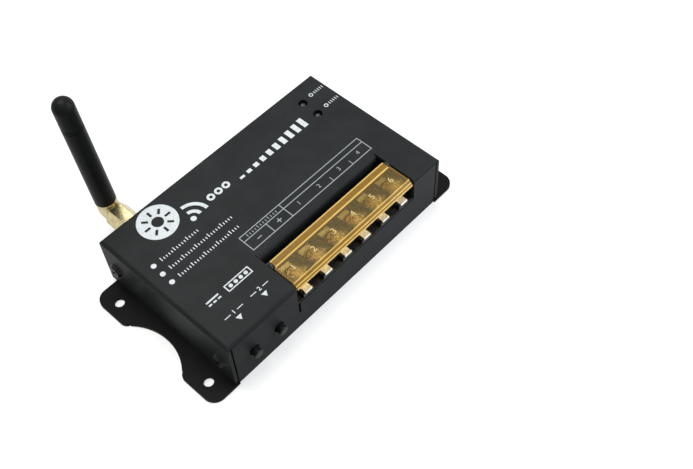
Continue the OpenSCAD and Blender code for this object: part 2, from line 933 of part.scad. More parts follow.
module antenna_elbow() {
    stub_y = jack_end + gap;
    flange_y = nut_y + nut_l - nut_lip - gap;
    color("#d8b450")
    translate([0, case_back, 0])
    at_rod()
        difference() {
            union() {
                rod_along_y(stub_r, stub_y, elbow_start + seat);
                rod_along_y(stub_flange_r, flange_y - stub_flange_t, flange_y);
                rod_along_y(elbow_r, elbow_start, rod_y);
                translate([0, rod_y, 0]) sphere(elbow_r);
                translate([0, rod_y, 0]) cylinder(r = elbow_r, h = sleeve_foot);
                translate([0, rod_y, 0]) cylinder(r = elbow_neck_r, h = sleeve_foot + elbow_neck_l);
            }
            rod_along_y(pin_r + gap, stub_y - cut, rod_y);
            translate([0, rod_y, -pin_r - gap])
                cylinder(r = elbow_bore_r, h = sleeve_foot + elbow_neck_l + elbow_r);
        }
}

module antenna_pin() {
    color("#cfa93f")
    translate([0, case_back, 0])
    at_rod() {
        rod_along_y(pin_r, jack_end - pin_reach, rod_y);
        translate([0, rod_y, 0]) sphere(pin_r);
        translate([0, rod_y, 0]) cylinder(r = pin_r, h = sleeve_foot);
    }
}

module antenna_sleeve() {
    seam_z = rod_h * sleeve_seam_share;
    color("#1a1b1c")
    translate([0, case_back, 0])
    at_rod()
        translate([0, rod_y, 0])
            difference() {
                union() {
                    translate([0, 0, sleeve_foot])
                        cylinder(r1 = rod_foot_r, r2 = rod_tip_r, h = rod_h - rod_tip_r - sleeve_foot);
                    translate([0, 0, rod_h - rod_tip_r]) sphere(rod_tip_r);
                }
                translate([0, 0, sleeve_foot]) {
                    bore_z(elbow_neck_r + seat, elbow_neck_l - cut + seat);
                    cylinder(r = sleeve_bore_r, h = rod_h - core_top - sleeve_foot + seat);
                }
                for (k = [0, 1])
                    translate([0, 0, seam_z + k * seam_step])
                        difference() {
                            cylinder(r = rod_foot_r + cut, h = seam_w);
                            bore_z(rod_tip_r - seam_d, seam_w);
                        }
            }
}

module antenna_core() {
    color("#b87333")
    translate([0, case_back, 0])
    at_rod()
        translate([0, rod_y, sleeve_foot])
            cylinder(r = core_r, h = rod_h - core_top - sleeve_foot);
}

// Thin coaxial lead from the socket's tail down to the radio module, with a two-step bend
module coax_lead() {
    start_y = shoulder_y - jack_tail + jack_floor;
    foot_y = module_y + module_w / 2 - socket_r;
    foot_z = module_z + module_t + socket_h;
    bend = (jack_z - foot_z) * coax_bend_share;
    color("#8a8f94")
    translate([0, case_back, 0])
    union() {
        at_jack() rod_along_y(coax_r, foot_y + bend, start_y - seat);
        translate([jack_x, foot_y + bend, jack_z]) {
            sphere(coax_r);
            rotate([135, 0, 0]) cylinder(r = coax_r, h = bend * sqrt(2));
        }
        translate([jack_x, foot_y, jack_z - bend]) sphere(coax_r);
        translate([jack_x, foot_y, foot_z]) cylinder(r = coax_r, h = jack_z - bend - foot_z);
    }
}

module radio_module() {
    color("#17417a")
    translate([0, case_back, 0])
    translate([jack_x + module_side, module_y, 0]) {
        translate([-module_l / 2, -module_w / 2, module_z]) cube([module_l, module_w, module_t]);
        for (s = [-1, 1])
            translate([s * (module_l - module_leg_w) / 2 - module_leg_w / 2, -module_w / 2, board_top])
                cube([module_leg_w, module_w, module_leg + seat]);
        translate([-module_side, module_w / 2 - socket_r, module_z])
            cylinder(r = socket_r, h = module_t + socket_h);
    }
}

module radio_shield() {
    color("#b4b7ba")
    translate([0, case_back, 0])
    translate([
        jack_x + module_side - shield_l / 2,
        module_y - module_w / 2 + shield_t,
        module_z + module_t
    ])
        difference() {
            cube([shield_l, shield_w, shield_h]);
            translate([shield_t, shield_t, -cut])
                cube([shield_l - 2 * shield_t, shield_w - 2 * shield_t, shield_h - shield_t + cut]);
        }
}

module microcontroller() {
    color("#202122")
    translate([0, case_back, 0])
    translate(on_board(chip_shares)) {
        translate([-chip_l / 2, -chip_w / 2, chip_lift]) cube([chip_l, chip_w, chip_h]);
        for (k = [1 : chip_leads], s = [-1, 1])
            translate([
                (k - (chip_leads + 1) / 2) * chip_pitch - chip_lead_w / 2,
                s * (chip_w + chip_lead_l) / 2 - (chip_lead_l + seat) / 2,
                0
            ])
                cube([chip_lead_w, chip_lead_l + seat, chip_lift + chip_lead_t]);
    }
}

// Surface-mounted power part with a metal tab and two legs
module power_part() {
    translate([-dpak_l / 2, -dpak_w / 2, 0]) cube([dpak_l, dpak_w, dpak_h]);
    translate([-dpak_l / 2 + dpak_tab / 2, dpak_w / 2 - seat, 0])
        cube([dpak_l - dpak_tab, dpak_tab, dpak_tab_t]);
    for (s = [-1, 1])
        translate([s * dpak_l / 3 - dpak_leg_w / 2, -dpak_w / 2 - dpak_leg, 0])
            cube([dpak_leg_w, dpak_leg + seat, dpak_tab_t]);
}

module output_transistors() {
    color("#2a2b2c")
    translate([0, case_back, 0])
    for (k = [0 : dpak_count - 1])
        translate(on_board(dpak_shares + [k * dpak_step_share, 0])) power_part();
}

module voltage_regulator() {
    color("#303132")
    translate([0, case_back, 0])
    translate(on_board(regulator_shares)) power_part();
}

module storage_capacitors() {
    color("#2c3f63")
    translate([0, case_back, 0])
    for (k = [0 : can_count - 1])
        translate(on_board(can_shares) + [0, k * can_step, 0])
            difference() {
                cylinder(r = can_r, h = can_h);
                translate([0, 0, can_groove_z])
                    difference() {
                        cylinder(r = can_r + cut, h = can_groove);
                        bore_z(can_r - can_groove, can_groove);
                    }
            }
}

module power_inductor() {
    color("#4a4440")
    translate([0, case_back, 0])
    translate(on_board(coil_shares)) {
        cylinder(r = coil_r, h = coil_flange);
        cylinder(r = coil_r - coil_flange / 2, h = coil_h);
        translate([0, 0, coil_h - coil_flange]) cylinder(r = coil_r, h = coil_flange);
    }
}

module fuse() {
    color("#dfe6e4")
    translate([0, case_back, 0])
    translate(on_board(fuse_shares) + [0, 0, fuse_lift + fuse_r])
        rotate([0, 90, 0]) {
            cylinder(r = fuse_r - fuse_cap_t, h = fuse_l, center = true);
            for (s = [-1, 1])
                translate([0, 0, s * (fuse_l - fuse_cap_l) / 2])
                    cylinder(r = fuse_r, h = fuse_cap_l, center = true);
        }
}

// Spring clips, open above, that hold the fuse by its caps
module fuse_clips() {
    color("#c8cbce")
    translate([0, case_back, 0])
    for (s = [-1, 1])
        translate(on_board(fuse_shares) + [s * (fuse_l - fuse_cap_l) / 2, 0, fuse_lift + fuse_r])
            along_x(clip_w)
                difference() {
                    union() {
                        circle(fuse_r + clip_t);
                        translate([-clip_w / 2, -fuse_lift - fuse_r])
                            square([clip_w, fuse_lift + clip_t]);
                    }
                    circle(fuse_r);
                    translate([-fuse_r, fuse_r / 2]) square([2 * fuse_r, 2 * fuse_r]);
                }
}

module crystal() {
    color("#bfc2c5")
    translate([0, case_back, 0])
    translate(on_board(crystal_shares)) {
        translate([-(crystal_l - crystal_w) / 2, -crystal_w / 2, 0])
            cube([crystal_l - crystal_w, crystal_w, crystal_h]);
        for (s = [-1, 1])
            translate([s * (crystal_l - crystal_w) / 2, 0, 0])
                cylinder(r = crystal_w / 2, h = crystal_h);
    }
}

module chip_parts() {
    color("#8d7a5a")
    translate([0, case_back, 0])
    for (row = [0 : len(chip_row_counts) - 1], k = [0 : chip_row_counts[row] - 1])
        translate(on_board(chip_row_shares[row]) + [k * chip_part_step, 0, 0])
            translate([-chip_part_l / 2, -chip_part_w / 2, 0])
                cube([chip_part_l, chip_part_w, chip_part_h]);
}

base_tray();
cover();
cover_screws();
insulation_sheet();
board_standoffs();
circuit_board();
board_screws();
terminal_block();
contact_plates();
terminal_lid();
wire_clamp(1);  // wire_clamp_1
wire_clamp(2);  // wire_clamp_2
wire_clamp(3);  // wire_clamp_3
wire_clamp(4);  // wire_clamp_4
wire_clamp(5);  // wire_clamp_5
wire_clamp(6);  // wire_clamp_6
terminal_screw(1);  // terminal_screw_1
terminal_screw(2);  // terminal_screw_2
terminal_screw(3);  // terminal_screw_3
terminal_screw(4);  // terminal_screw_4
terminal_screw(5);  // terminal_screw_5
terminal_screw(6);  // terminal_screw_6
button(1);  // button_1
button(2);  // button_2
switch_bodies();
lamp(0, "#c9d6c4");  // lamp_power
lamp(1, "#d4c9c4");  // lamp_signal
lamp_spacers();
antenna_jack();
jack_insulator();
jack_contact();
jack_washer();
jack_nut();
coupling_nut();
antenna_elbow();
antenna_pin();
antenna_sleeve();
antenna_core();
coax_lead();
radio_module();
radio_shield();
microcontroller();
output_transistors();
voltage_regulator();
storage_capacitors();
power_inductor();
fuse();
fuse_clips();
crystal();
chip_parts();
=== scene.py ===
import json
import math
from functools import cached_property

import bmesh
import bpy
from mathutils import Matrix, Quaternion, Vector


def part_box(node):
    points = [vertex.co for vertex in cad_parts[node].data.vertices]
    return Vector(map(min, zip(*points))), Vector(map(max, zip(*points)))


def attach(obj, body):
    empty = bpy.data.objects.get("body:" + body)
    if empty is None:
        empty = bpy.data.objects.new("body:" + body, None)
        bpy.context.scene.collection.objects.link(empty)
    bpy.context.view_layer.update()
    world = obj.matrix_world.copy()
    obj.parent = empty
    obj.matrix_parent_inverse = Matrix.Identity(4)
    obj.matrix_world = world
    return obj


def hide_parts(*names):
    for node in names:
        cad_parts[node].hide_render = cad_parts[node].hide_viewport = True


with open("model.json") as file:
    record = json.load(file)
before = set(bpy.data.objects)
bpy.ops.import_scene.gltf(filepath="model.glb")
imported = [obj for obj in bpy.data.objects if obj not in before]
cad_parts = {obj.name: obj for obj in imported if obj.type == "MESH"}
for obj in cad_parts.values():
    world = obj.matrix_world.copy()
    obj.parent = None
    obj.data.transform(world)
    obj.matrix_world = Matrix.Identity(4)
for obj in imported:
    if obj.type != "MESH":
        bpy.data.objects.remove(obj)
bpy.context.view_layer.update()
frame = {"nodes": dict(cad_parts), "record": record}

MM = 0.001
WAYS = 6
BODIES = frame["record"]["behaviour"]["bodies"]
BODY_OF = {node: body for body, nodes in BODIES.items() for node in nodes}
SLOT_OF = {row["node"]: row["material_slot"] for row in frame["record"]["subparts"]}


def centre(node):
    """The middle of a node's box."""
    low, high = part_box(node)
    return (low + high) / 2


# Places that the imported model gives, in metres
case_low, case_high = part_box("cover")
case_y = (case_low.y + case_high.y) / 2
top_z = case_high.z
underside_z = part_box("base_tray")[0].z
lid_low, lid_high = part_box("terminal_lid")
way_x = [centre(f"terminal_screw_{way}").x for way in range(1, WAYS + 1)]


def placed(name, data):
    """A new object that shows this mesh, curve, lamp or camera."""
    made = bpy.data.objects.new(name, data)
    bpy.context.scene.collection.objects.link(made)
    return made


# The camera, in millimetres and degrees, as the photograph was taken
CAMERA_PLACE = (-126.69, -158.85, 288.09)
CAMERA_TURN = -45.19
CAMERA_HEIGHT = 54.85
CAMERA_ROLL = -2.70
PHOTO_WIDTH_PX = 693
FOCAL_PX = 982.55
SENSOR = 36.0
# The nearest and farthest that it sees, in metres
CAMERA_REACH = (0.01, 10)


def make_camera():
    """The camera at the photograph's viewing angle."""
    turn, height = math.radians(CAMERA_TURN), math.radians(CAMERA_HEIGHT)
    back = Vector((
        math.sin(turn) * math.cos(height),
        -math.cos(turn) * math.cos(height),
        math.sin(height),
    ))
    data = bpy.data.cameras.new("camera")
    data.sensor_width = SENSOR
    data.lens = FOCAL_PX * SENSOR / PHOTO_WIDTH_PX
    data.clip_start, data.clip_end = CAMERA_REACH
    camera = placed("camera", data)
    camera.location = Vector(CAMERA_PLACE) * MM
    camera.rotation_mode = "QUATERNION"
    level = (-back).to_track_quat("-Z", "Y")
    camera.rotation_quaternion = level @ Quaternion((0, 0, 1), math.radians(CAMERA_ROLL))
    bpy.context.scene.camera = camera


class Number:
    """A number that varies over a surface, which Python's operators work on."""

    def __init__(self, finish, socket):
        self.finish, self.socket = finish, socket

    def _maths(self, operation, *values):
        made = self.finish.node("ShaderNodeMath", {"operation": operation}, *values)
        return Number(self.finish, made.outputs[0])

    def __add__(self, other):
        return self._maths("ADD", self, other)

    def __radd__(self, other):
        return self._maths("ADD", other, self)

    def __sub__(self, other):
        return self._maths("SUBTRACT", self, other)

    def __rsub__(self, other):
        return self._maths("SUBTRACT", other, self)

    def __mul__(self, other):
        return self._maths("MULTIPLY", self, other)

    def __rmul__(self, other):
        return self._maths("MULTIPLY", other, self)

    def __abs__(self):
        return self._maths("ABSOLUTE", self)

    def most(self, other):
        """The larger of two numbers."""
        return self._maths("MAXIMUM", self, other)

    def left_over(self, step):
        """What is left of the number after whole steps."""
        return self._maths("MODULO", self, step)

    def rising(self, low, high):
        """0 below low, 1 above high, and a smooth step between."""
        made = self.finish.node(
            "ShaderNodeMapRange", {"interpolation_type": "SMOOTHSTEP"},
            Value=self, From_Min=low, From_Max=high,
        )
        return Number(self.finish, made.outputs["Result"])


class Finish:
    """One material, or the world, and the nodes that make it."""

    # Sockets of a Mix node that mixes colours
    MIX_AMOUNT, MIX_FIRST, MIX_SECOND = 0, 6, 7
    MIX_RESULT = 2

    def __init__(self, name, family=None):
        self.owner = (bpy.data.materials if family is None else family).new(name)
        self.owner.use_nodes = True
        self.tree = self.owner.node_tree
        self.tree.nodes.clear()

    @cached_property
    def place(self):
        """Where each point of the surface lies, in metres."""
        return self.node("ShaderNodeTexCoord").outputs["Object"]

    def node(self, kind, settings=None, *values, **named):
        """A new node: its settings first, then the values or links of its sockets."""
        made = self.tree.nodes.new(kind)
        for key, value in (settings or {}).items():
            setattr(made, key, value)
        for socket, value in zip(made.inputs, values):
            self._plug(socket, value)
        for key, value in named.items():
            self._plug(made.inputs[key.replace("_", " ")], value)
        return made

    def _plug(self, socket, value):
        value = value.socket if isinstance(value, Number) else value
        if isinstance(value, bpy.types.NodeSocket):
            self.tree.links.new(value, socket)
        elif socket.type == "RGBA" and len(value) == 3:
            socket.default_value = (*value, 1)
        else:
            socket.default_value = value

    def axis(self, letter):
        """The distance along X, Y or Z, in millimetres."""
        split = self.node("ShaderNodeSeparateXYZ", None, self.place)
        return Number(self, split.outputs[letter]) * (1 / MM)

    def noise(self, size, detail, roughness, stretch=(1, 1, 1)):
        """Cloudy noise about 0.5, with patches of about this size in millimetres."""
        place = self.node("ShaderNodeMapping", None, Vector=self.place, Scale=stretch).outputs[0]
        made = self.node(
            "ShaderNodeTexNoise", None,
            Vector=place, Scale=1 / (size * MM), Detail=detail, Roughness=roughness,
        )
        return Number(self, made.outputs[0])

    def seen(self):
        """1 for what the camera sees, also by way of gloss or clear plastic, and 0 for a light."""
        rays = self.node("ShaderNodeLightPath").outputs
        kinds = ("Is Camera Ray", "Is Glossy Ray", "Is Transmission Ray")
        straight, glossy, through = (Number(self, rays[kind]) for kind in kinds)
        return straight.most(glossy).most(through)

    def mix(self, amount, first, second):
        """The first colour where the amount is 0, and the second where it is 1."""
        made = self.node("ShaderNodeMix", {"data_type": "RGBA"})
        self._plug(made.inputs[self.MIX_AMOUNT], amount)
        self._plug(made.inputs[self.MIX_FIRST], first)
        self._plug(made.inputs[self.MIX_SECOND], second)
        return made.outputs[self.MIX_RESULT]

    def bump(self, height, depth, strength):
        """A bump of this depth in millimetres where height goes from 0 to 1."""
        made = self.node(
            "ShaderNodeBump", None, Strength=strength, Distance=depth * MM, Height=height,
        )
        return made.outputs[0]

    def surface(self, **sockets):
        """The main shader, with these sockets set or linked."""
        return self.node("ShaderNodeBsdfPrincipled", None, **sockets).outputs[0]

    def done(self, shader):
        """The finished material."""
        self.node("ShaderNodeOutputMaterial", None, shader)
        return self.owner


def painted_steel(name, dark, light, gloss):
    """Powder coat: a fine orange peel with a finer grain, over faint lighter patches."""
    finish = Finish(name)
    patches = finish.noise(9, detail=3, roughness=0.6)
    peel = finish.noise(0.35, detail=2, roughness=0.5)
    grain = finish.noise(0.12, detail=1, roughness=0.5)
    return finish.done(finish.surface(
        Base_Color=finish.mix(patches.rising(0.3, 0.75), dark, light),
        Roughness=0.4 + patches * 0.08 + grain * 0.06,
        Specular_IOR_Level=gloss,
        Normal=finish.bump(peel + grain * 0.5, depth=0.012, strength=0.5),
    ))


def plastic(name, colour, rough, gloss=0.5):
    """Moulded plastic with a fine grain and a little variation of gloss."""
    finish = Finish(name)
    cloud = finish.noise(4, detail=3, roughness=0.6)
    grain = finish.noise(0.25, detail=2, roughness=0.5)
    dark = tuple(0.82 * part for part in colour)
    return finish.done(finish.surface(
        Base_Color=finish.mix(cloud, dark, colour),
        Roughness=rough - 0.06 + cloud * 0.12,
        Specular_IOR_Level=gloss,
        Normal=finish.bump(grain, depth=0.01, strength=0.4),
    ))


def metal(name, colour, dull, rough, grain=(1, 1, 1), size=0.5, depth=0.006):
    """Plated or bare metal in two tones. Its grain, of this size and depth in millimetres, is
    stretched along an axis where the metal was drawn or turned."""
    finish = Finish(name)
    cloud = finish.noise(size * 5, detail=3, roughness=0.6)
    lines = finish.noise(size, detail=3, roughness=0.55, stretch=grain)
    return finish.done(finish.surface(
        Base_Color=finish.mix(cloud.rising(0.35, 0.7), colour, dull),
        Metallic=1.0,
        Roughness=rough - 0.07 + lines * 0.14,
        Normal=finish.bump(lines, depth, strength=0.5),
    ))


def moulded_rubber():
    """The antenna's soft black sleeve, faintly mottled, with a satin sheen."""
    finish = Finish("moulded_rubber")
    cloud = finish.noise(6, detail=3, roughness=0.6)
    grain = finish.noise(0.22, detail=2, roughness=0.5)
    return finish.done(finish.surface(
        Base_Color=finish.mix(cloud, (0.0055, 0.006, 0.0061), (0.0085, 0.009, 0.0092)),
        Roughness=0.32 + cloud * 0.1,
        Specular_IOR_Level=0.05,
        Normal=finish.bump(grain, depth=0.012, strength=0.5),
    ))


def fuse_glass():
    """The fuse's clear tube."""
    finish = Finish("fuse_glass")
    cloud = finish.noise(1.5, detail=2, roughness=0.5)
    return finish.done(finish.surface(
        Base_Color=finish.mix(cloud, (0.9, 0.94, 0.93), (0.81, 0.846, 0.837)),
        Roughness=0.05,
        IOR=1.5,
        Transmission_Weight=0.85,
    ))


def solder_mask(name, colour, copper):
    """Circuit board: a glossy mask over faint tracks that run both ways."""
    finish = Finish(name)
    along = finish.noise(1.6, detail=1, roughness=0.4, stretch=(0.12, 1, 1))
    across = finish.noise(1.6, detail=1, roughness=0.4, stretch=(1, 0.12, 1))
    tracks = along.rising(0.52, 0.56).most(across.rising(0.57, 0.6))
    return finish.done(finish.surface(
        Base_Color=finish.mix(tracks, colour, copper),
        Roughness=0.3,
        Coat_Weight=0.3,
        Normal=finish.bump(tracks, depth=0.03, strength=0.6),
    ))


def ceramic(name, colour, rough=0.5):
    """A dull fired body with a cloudy tone."""
    finish = Finish(name)
    cloud = finish.noise(1.2, detail=3, roughness=0.6)
    return finish.done(finish.surface(
        Base_Color=finish.mix(cloud, tuple(0.75 * part for part in colour), colour),
        Roughness=rough,
        Normal=finish.bump(cloud, depth=0.02, strength=0.5),
    ))


# Where the lid's thick parts meet its thin face, from and to, in millimetres from the front
# edge, the rear edge and the middle. Its ends count as less thick than its rails
LID_FRONT_RAIL = (1.3, 2.1)
LID_REAR_RAIL = (3.2, 3.7)
LID_END = (27.2, 27.9)
LID_END_SHARE = 0.7
# The painted highlights along its front and rear, streaks each given as its place from that edge
# and its half width, with the share of the half width that is fully bright
LID_FRONT_STREAKS = ((1.75, 0.35), (0.7, 0.25), (0.05, 0.2))
LID_REAR_STREAKS = ((3.15, 0.4), (0.55, 0.5))
STREAK_CORE = 0.3
# The patches of painted light over the screws, where the metal shows through the lid: their place
# from the front edge, the weights of the distances beside and ahead and of the flecks, and the
# sums between which they fade
PATCHES_FROM_FRONT = 3.5
PATCH_BESIDE, PATCH_AHEAD, PATCH_FLECKS = 0.8, 0.62, 4.2
PATCH_FADE = (2.6, 5.6)
# Whole steps from the first terminal to beyond the lid's end, so that the distance that is
# cut into steps is never below 0
STEPS_BEFORE = 10
# How cloudy the plastic is: everywhere, and how much more where it is thick, over the screws
# and in its clouds
CLOUDY, CLOUDY_THICK, CLOUDY_PATCH, CLOUDY_CLOUD = 0.36, 0.4, 0.16, 0.1
AMBER = {
    "shade": (0.062, 0.052, 0.022),
    "painted_patch": (0.24, 0.15, 0.036),
    "painted_glint": (0.56, 0.44, 0.19),
    "thick": (0.14, 0.07, 0.006),
    "painted_streak": (0.62, 0.41, 0.11),
    "clear": (0.93, 0.66, 0.2),
}


def amber_plastic():
    """Clear amber moulding: cloudy, with thick edges, painted highlights in streaks along them,
    and patches of painted light with painted glints over the screws."""
    finish = Finish("amber_plastic")
    cloud = finish.noise(3, detail=3, roughness=0.6)
    flecks = finish.noise(0.9, detail=3, roughness=0.6)
    painted_glints = finish.noise(0.8, detail=4, roughness=0.75, stretch=(1, 0.6, 1))
    along, across = finish.axis("X"), finish.axis("Y")
    from_front = across - lid_low.y / MM
    from_rear = lid_high.y / MM - across
    from_middle = abs(along - centre("terminal_lid").x / MM)

    front = 1 - from_front.rising(*LID_FRONT_RAIL)
    rear = 1 - from_rear.rising(*LID_REAR_RAIL)
    ends = from_middle.rising(*LID_END)
    thick = front.most(rear).most(ends * LID_END_SHARE)

    # Painted highlights: bright streaks along the front and rear rails, over faint flecks of the
    # same
    painted_streaks = flecks * 0.2
    for distance, edge in ((from_rear, LID_REAR_STREAKS), (from_front, LID_FRONT_STREAKS)):
        for place, half in edge:
            beyond = abs(distance - place).rising(STREAK_CORE * half, half)
            painted_streaks = painted_streaks.most(1 - beyond)

    # Painted light: lighter patches over each screw, as if its metal showed through the lid
    step = (way_x[1] - way_x[0]) / MM
    start = way_x[0] / MM - (STEPS_BEFORE + 0.5) * step
    beside = abs((along - start).left_over(step) - step / 2)
    ahead = abs(from_front - PATCHES_FROM_FRONT)
    away = beside * PATCH_BESIDE + ahead * PATCH_AHEAD + flecks * PATCH_FLECKS
    painted_patch = 1 - away.rising(*PATCH_FADE)

    # Painted light over the screws, with painted glints within it
    body = finish.mix(painted_patch, AMBER["shade"], AMBER["painted_patch"])
    body = finish.mix(painted_patch * painted_glints.rising(0.5, 0.68) * 0.8, body, AMBER["painted_glint"])
    body = finish.mix(thick, body, AMBER["thick"])
    clear = finish.surface(
        Base_Color=AMBER["clear"],
        Roughness=0.06,
        IOR=1.3,
        Specular_IOR_Level=0.08,
        Transmission_Weight=1.0,
    )
    # The painted highlights lie over the body's colour
    cloudy = finish.surface(
        Base_Color=finish.mix(painted_streaks, body, AMBER["painted_streak"]),
        Roughness=0.25 + cloud * 0.1,
        Specular_IOR_Level=0.1,
        Normal=finish.bump(cloud, depth=0.03, strength=0.4),
    )
    amount = CLOUDY + thick * CLOUDY_THICK + painted_patch * CLOUDY_PATCH + cloud * CLOUDY_CLOUD
    return finish.done(finish.node("ShaderNodeMixShader", None, amount, clear, cloudy).outputs[0])


# The two tones of each plating
BRIGHT_NICKEL = ((0.96, 0.94, 0.86), (0.9, 0.87, 0.76))
NICKEL = ((0.86, 0.83, 0.74), (0.72, 0.66, 0.5))
GOLD = ((0.56, 0.49, 0.29), (0.42, 0.35, 0.18))

# The finish of each material slot
FINISHES = {
    "case_paint": painted_steel(
        "cover_paint", (0.013, 0.0142, 0.0147), (0.0165, 0.018, 0.0186), gloss=0.04),
    "black_screw": metal(
        "blackened_steel", (0.02, 0.02, 0.021), (0.011, 0.011, 0.012), 0.42),
    "insulation": plastic("insulating_film", (0.6, 0.54, 0.36), 0.5),
    "standoff_brass": metal("plain_brass", (0.72, 0.52, 0.22), (0.58, 0.42, 0.2), 0.3),
    "zinc_steel": metal("zinc_plate", (0.66, 0.67, 0.7), (0.5, 0.52, 0.56), 0.32),
    "board_green": solder_mask("green_board", (0.012, 0.09, 0.03), (0.03, 0.17, 0.06)),
    "block_black": plastic("block_moulding", (0.006, 0.006, 0.0065), 0.42, gloss=0.25),
    "contact_nickel": metal(
        "contact_plating", *BRIGHT_NICKEL, 0.45, grain=(1, 0.2, 1), size=0.3),
    "clamp_nickel": metal("clamp_plating", *NICKEL, 0.4, grain=(0.2, 1, 1), size=0.3),
    "screw_nickel": metal("screw_plating", *NICKEL, 0.38, size=0.3),
    "lid_amber": amber_plastic(),
    "button_black": plastic("button_moulding", (0.004, 0.004, 0.0045), 0.4, gloss=0.2),
    "switch_black": plastic("switch_moulding", (0.04, 0.04, 0.042), 0.45),
    "lamp_clear": plastic("lamp_lens", (0.02, 0.021, 0.02), 0.3, gloss=0.3),
    "spacer_white": plastic("spacer_moulding", (0.75, 0.75, 0.71), 0.45),
    "gold": metal("gold_plating", *GOLD, 0.22, grain=(1, 0.15, 1), size=0.35, depth=0.002),
    "insulator_white": plastic("insulator_moulding", (0.82, 0.8, 0.75), 0.35),
    "sleeve_black": moulded_rubber(),
    "copper": metal("copper_wire", (0.8, 0.42, 0.26), (0.6, 0.3, 0.19), 0.3),
    "lead_grey": plastic("lead_jacket", (0.3, 0.31, 0.32), 0.4),
    "module_blue": solder_mask("blue_board", (0.012, 0.05, 0.17), (0.03, 0.1, 0.28)),
    "chip_black": plastic("chip_moulding", (0.02, 0.02, 0.021), 0.5),
    "can_sleeve": plastic("can_sleeve", (0.025, 0.045, 0.11), 0.25),
    "ferrite": ceramic("ferrite", (0.06, 0.055, 0.052), 0.6),
    "fuse_glass": fuse_glass(),
    "chip_ceramic": ceramic("chip_ceramic", (0.35, 0.27, 0.16)),
}
# The tray shares a slot with the cover but is drawn in a darker, less glossy copy of its paint,
# which paints shade on it; the lid's numbers share a slot with the lid, in a tone of their own
SHADED_TRAY_PAINT = painted_steel(
    "shaded_tray_paint", (0.005, 0.005, 0.005), (0.0068, 0.0068, 0.0066), gloss=0.03)
PALE_AMBER = plastic("pale_amber", (0.42, 0.32, 0.13), 0.3)


def link(name, mesh, material):
    """A new object with this mesh and this one material."""
    mesh.materials.clear()
    mesh.materials.append(material)
    return placed(name, mesh)


def shown_mesh(holder):
    """What an object shows, as a plain mesh: a curve's body, or what the modifiers make."""
    graph = bpy.context.evaluated_depsgraph_get()
    graph.update()
    return bpy.data.meshes.new_from_object(holder.evaluated_get(graph), depsgraph=graph)


def taken_off(holder, place):
    """What a holder shows, moved to its place in metres. The holder goes."""
    mesh = shown_mesh(holder)
    mesh.transform(Matrix.Translation(place))
    bpy.data.objects.remove(holder)
    return mesh


def new_mesh(name, work):
    """A mesh of worked geometry."""
    mesh = bpy.data.meshes.new(name)
    work.to_mesh(mesh)
    work.free()
    return mesh


def joined(name, meshes):
    """One mesh from several, which already lie where they belong."""
    work = bmesh.new()
    for mesh in meshes:
        work.from_mesh(mesh)
    return new_mesh(name, work)


def add_piece(name, mesh, material, body):
    """A piece that stands for no node of its own."""
    made = link(name, mesh, material)
    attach(made, body)


# An edge is sharp from the first angle between its faces on, and two faces are one flat face
# up to the second
SHARP_ANGLE = math.radians(32)
FLAT_ANGLE = math.radians(0.3)
EDGE_SEGMENTS = 2
# Corners this near each other are one, in millimetres
NODE_MERGE = 0.0005
PRINT_MERGE = 0.0002

# Edge radius of each piece that is shown with rounded edges, in millimetres
EDGE_RADIUS = {
    "cover": 0.12,
    "base_tray": 0.12,
    "terminal_block": 0.12,
    "terminal_lid": 0.22,
    "contact_plates": 0.06,
    "jack_washer": 0.08,
    "jack_nut": 0.12,
    "coupling_nut": 0.15,
    "antenna_elbow": 0.1,
}
for way in range(1, WAYS + 1):
    EDGE_RADIUS[f"wire_clamp_{way}"] = 0.06
    EDGE_RADIUS[f"terminal_screw_{way}"] = 0.08
EDGE_RADIUS.update(button_1=0.15, button_2=0.15)


def smooth(mesh):
    """Shades the mesh smooth, except over its sharp edges."""
    mesh.polygons.foreach_set("use_smooth", [True] * len(mesh.polygons))
    work = bmesh.new()
    work.from_mesh(mesh)
    for edge in work.edges:
        edge.smooth = len(edge.link_faces) == 2 and edge.calc_face_angle(0) < SHARP_ANGLE
    work.to_mesh(mesh)
    work.free()


def dress(node, radius, material):
    """Stands for a CAD node: the same solid, with its sharp edges rounded."""
    work = bmesh.new()
    work.from_mesh(frame["nodes"][node].data)
    bmesh.ops.remove_doubles(work, verts=work.verts, dist=NODE_MERGE * MM)
    bmesh.ops.dissolve_limit(
        work, angle_limit=FLAT_ANGLE, verts=work.verts, edges=work.edges,
        use_dissolve_boundaries=False,
    )
    made = link(f"{node}_shape", new_mesh(f"{node}_shape", work), material)
    smooth(made.data)
    bevel = made.modifiers.new("edges", "BEVEL")
    bevel.width = radius * MM
    bevel.segments = EDGE_SEGMENTS
    bevel.limit_method = "ANGLE"
    bevel.angle_limit = SHARP_ANGLE
    bevel.harden_normals = True
    even = made.modifiers.new("shading", "WEIGHTED_NORMAL")
    even.weight = 100
    even.keep_sharp = True
    mesh = shown_mesh(made)
    made.modifiers.clear()
    made.data = mesh
    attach(made, BODY_OF[node])
    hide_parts(node)


def finish_nodes():
    """Every CAD node gets its finish, and those in EDGE_RADIUS their rounded edges."""
    for node, radius in EDGE_RADIUS.items():
        # The base tray takes the darker copy of the case paint, which is painted shade
        dress(node, radius, SHADED_TRAY_PAINT if node == "base_tray" else FINISHES[SLOT_OF[node]])
    for node, shown in frame["nodes"].items():
        if node not in EDGE_RADIUS:
            shown.data.materials.clear()
            shown.data.materials.append(FINISHES[SLOT_OF[node]])


# The screen print, with its places in millimetres from the middle of the top, and the height
# of its underside in metres
INK_THICKNESS = 0.03
INK_SINK = 0.01
INK_DEPTH = INK_THICKNESS + INK_SINK
INK_BOTTOM = top_z - INK_SINK * MM

DISC_SIDES = 72
RING_SIDES = 40
BULLET_SIDES = 28
HOLE_SIDES = 24
DOT_SIDES = 20
ARC_STEPS = 16

# The emblem: a disc with a sun, whose parts are shares of its radius
EMBLEM = {"x": -32.6, "y": 22.0, "radius": 7.3}
SUN_RADIUS = 0.3
SUN_RAYS = 8
RAY_FROM, RAY_TO, RAY_HALF_WIDTH = 0.44, 0.76, 0.065

